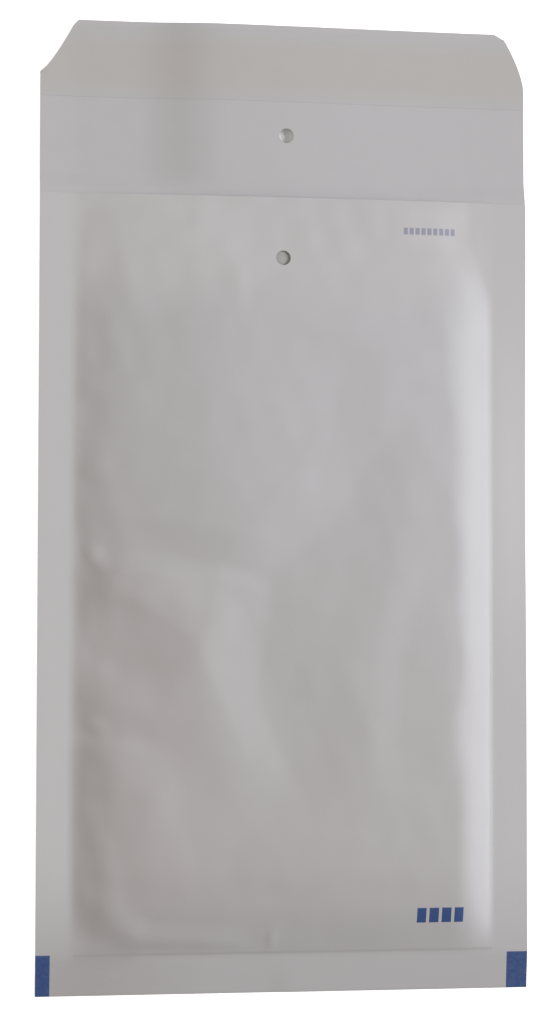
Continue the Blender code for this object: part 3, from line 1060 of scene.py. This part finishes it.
# %% Film finish
FILM_COLOUR = (0.76, 0.77, 0.77)
clear_film, film_shader = new_material("clear bubble film", FILM_COLOUR, 0.16)
film_shader.inputs["Alpha"].default_value = 0.34
film_shader.inputs["IOR"].default_value = 1.5
film_place = add_node(clear_film, "ShaderNodeTexCoord").outputs["Object"]
milky = noise(clear_film, film_place, 60, 3)
film_tone = mix_colour(clear_film, milky, (0.72, 0.72, 0.71), (0.80, 0.80, 0.79))
wire(clear_film, film_tone, film_shader.inputs["Base Color"])
bumped(clear_film, film_shader, noise(clear_film, film_place, 420, 2), 0.3, 0.1 * MM)
dress(film, clear_film, "bubble_lining")
print("dressed:", film.name)

# %% [markdown]
# ## Peel strip and adhesive
#
# The flap is coated with a band of tacky adhesive, covered by a strip of waxed paper that is a
# little wider. Both were laid on the web before the corners were cut, so both end with the
# flap's outline. They are made like the flap: flat grids that are trimmed and then lifted on it.
# The paper of the strip is thin, so the adhesive tints it a little.

# %% Strips across the flap
STRIP_STEP = 2.0 * MM
STRIP_ROW = 1.2 * MM
EDGE_DIP = 2 * MM
ADHESIVE = 0.06 * MM
STRIP = 0.03 * MM
glue_low, glue_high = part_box("flap_adhesive")
strip_low, strip_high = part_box("release_liner")


def flap_strip(name, low, high, lift, thickness):
    """A strip that follows the flap and comes down to it over what lies below."""
    strip = grid_sheet(name, even(-HALF_WIDTH, HALF_WIDTH, STRIP_STEP), even(low, high, STRIP_ROW))
    points = points_of(strip)
    x = trimmed(points[:, 0], points[:, 1])
    y = points[:, 1]
    over = ease((y - low) / EDGE_DIP) * ease((high - y) / EDGE_DIP)
    z = back_outside(x, y) + PAPER + TOUCH + (lift - TOUCH) * over
    move_points(strip, np.column_stack([x, y, z]))
    thicken(strip, thickness, offset=1)
    return strip


adhesive = flap_strip("adhesive_band", glue_low.y, glue_high.y, TOUCH, ADHESIVE)
peel_strip = flap_strip("peel_strip", strip_low.y, strip_high.y, 2 * TOUCH + ADHESIVE, STRIP)
print("strips:", len(adhesive.data.polygons), "and", len(peel_strip.data.polygons), "faces")

# %% Finish of the adhesive
glue, glue_shader = new_material("tacky adhesive", (0.62, 0.56, 0.42), 0.3)
glue_place = add_node(glue, "ShaderNodeTexCoord").outputs["Object"]
streaks = noise(glue, glue_place, 300, 3)
glue_colour = mix_colour(glue, streaks, (0.58, 0.52, 0.38), (0.66, 0.60, 0.47))
wire(glue, glue_colour, glue_shader.inputs["Base Color"])
bumped(glue, glue_shader, streaks, 0.4, 0.05 * MM)
dress(adhesive, glue, "flap_adhesive")
print("dressed:", adhesive.name)

# %% Finish of the peel strip
waxed, waxed_shader = new_material("waxed peel strip", (0.45, 0.44, 0.43), 0.42)
waxed_shader.inputs["Coat Weight"].default_value = 0.15
waxed_shader.inputs["Coat Roughness"].default_value = 0.3
waxed_place = add_node(waxed, "ShaderNodeTexCoord").outputs["Object"]
waxed_split = add_node(waxed, "ShaderNodeSeparateXYZ")
wire(waxed, waxed_place, waxed_split.inputs["Vector"])
over_glue = inside(
    waxed, waxed_split.outputs["Y"], glue_low.y - 1 * MM, glue_high.y + 1 * MM, softness=4 * MM
)
waxed_cloud = noise(waxed, waxed_place, 160, 4)
waxed_tone = mix_colour(waxed, waxed_cloud, (0.443, 0.437, 0.443), (0.463, 0.457, 0.463))
glue_tone = mix_colour(waxed, waxed_cloud, (0.438, 0.422, 0.417), (0.458, 0.442, 0.437))
strip_tone = mix_colour(waxed, over_glue, waxed_tone, glue_tone)
wire(waxed, strip_tone, waxed_shader.inputs["Base Color"])
bumped(waxed, waxed_shader, noise(waxed, waxed_place, 900, 3), 0.15, 0.05 * MM)
dress(peel_strip, waxed, "release_liner")
print("dressed:", peel_strip.name)

# %% [markdown]
# ## Floor, light and camera
#
# The mailer lies on a plain white table. A table that is seen as white would throw too much
# light on the paper, so its glow is there only for the rays that are seen, and the lamps light
# a table that is a little darker. Under the mailer, where the hole in the flap shows the table,
# the glow is weak. The light is that of a window: cool and strong from the right and a little
# from the top, with a weaker warm light from the left. The sky is warm and dim too, but the
# camera sees it as white, so that the table has no edge.

# %% Floor
TABLE_SIZE = 6
TABLE_GLOW = 0.75
GLOW_UNDER_MAILER = 0.15
UNDER_SHARE = 0.9
UNDER_EDGE = 15 * MM

bpy.ops.mesh.primitive_plane_add(size=TABLE_SIZE, location=(0, 0, -0.2 * MM))
floor = bpy.context.object
floor.name = "table"
table, table_shader = new_material("white table", (0.88, 0.88, 0.88), 0.9)
glow = add_node(table, "ShaderNodeEmission", Color=(1, 1, 1, 1))
rays = add_node(table, "ShaderNodeLightPath")
seen = math_node(table, "MAXIMUM", rays.outputs["Is Camera Ray"], rays.outputs["Is Glossy Ray"])
seen = math_node(table, "MAXIMUM", seen, rays.outputs["Is Transmission Ray"])
table_split = add_node(table, "ShaderNodeSeparateXYZ")
wire(table, add_node(table, "ShaderNodeTexCoord").outputs["Object"], table_split.inputs["Vector"])
under = rectangle(
    table,
    table_split.outputs["X"],
    table_split.outputs["Y"],
    (-UNDER_SHARE * HALF_WIDTH, UNDER_SHARE * FOLD_Y),
    (UNDER_SHARE * HALF_WIDTH, UNDER_SHARE * TIP_Y),
    UNDER_EDGE,
)
dimmed = math_node(table, "MULTIPLY", under, TABLE_GLOW - GLOW_UNDER_MAILER)
white = math_node(table, "SUBTRACT", TABLE_GLOW, dimmed)
wire(table, math_node(table, "MULTIPLY", seen, white), glow.inputs["Strength"])
both = add_node(table, "ShaderNodeAddShader")
wire(table, table_shader.outputs[0], both.inputs[0])
wire(table, glow.outputs[0], both.inputs[1])
wire(table, both.outputs[0], table.node_tree.nodes["Material Output"].inputs["Surface"])
floor.data.materials.append(table)
print("table:", len(table.node_tree.nodes), "nodes")

# %% The sky
world = bpy.data.worlds.new("studio")
bpy.context.scene.world = world
world.use_nodes = True
sky = world.node_tree.nodes["Background"]
sky.inputs["Color"].default_value = (1.0, 0.92, 0.83, 1)
sky.inputs["Strength"].default_value = 0.25
behind = world.node_tree.nodes.new("ShaderNodeBackground")
behind.inputs["Color"].default_value = (1, 1, 1, 1)
behind.inputs["Strength"].default_value = 1
view_rays = world.node_tree.nodes.new("ShaderNodeLightPath")
choice = world.node_tree.nodes.new("ShaderNodeMixShader")
for start, end in (
    (view_rays.outputs["Is Camera Ray"], choice.inputs[0]),
    (sky.outputs[0], choice.inputs[1]),
    (behind.outputs[0], choice.inputs[2]),
    (choice.outputs[0], world.node_tree.nodes["World Output"].inputs["Surface"]),
):
    world.node_tree.links.new(start, end)
print("sky:", world.name)

# %% Two windows
def window(name, place, size, power, colour):
    bpy.ops.object.light_add(type="AREA", location=place)
    lamp = bpy.context.object
    lamp.name = name
    lamp.data.shape = "RECTANGLE"
    lamp.data.size, lamp.data.size_y = size
    lamp.data.energy = power
    lamp.data.color = colour
    aim = Vector((0, 0, 0)) - Vector(place)
    lamp.rotation_euler = aim.to_track_quat("-Z", "Y").to_euler()
    return lamp


right_window = window("right_window", (3.02, 0.42, 1.92), (2.0, 2.0), 164, (0.93, 0.96, 1.0))
left_fill = window("left_fill", (-1.45, 0.1, 1.0), (1.0, 1.0), 9, (1.0, 0.92, 0.83))
print("lamps:", right_window.data.energy, "and", left_fill.data.energy, "W")

# %% Camera
CAMERA_PLACE = (-98.7 * MM, -31.2 * MM, 676.1 * MM)
CAMERA_TURN = (0.0425, -0.1433, 0.0019)
LENS_PIXELS = 2400
IMAGE_HEIGHT = 1024

camera_data = bpy.data.cameras.new("camera")
camera = bpy.data.objects.new("camera", camera_data)
bpy.context.scene.collection.objects.link(camera)
camera.location = CAMERA_PLACE
camera.rotation_euler = Euler(CAMERA_TURN, "XYZ")
camera_data.sensor_width = 36
camera_data.lens = LENS_PIXELS * camera_data.sensor_width / IMAGE_HEIGHT
camera_data.clip_start = 0.01
bpy.context.scene.camera = camera
bpy.context.scene.view_settings.view_transform = "Standard"
print("lens:", round(camera_data.lens, 1), "mm")
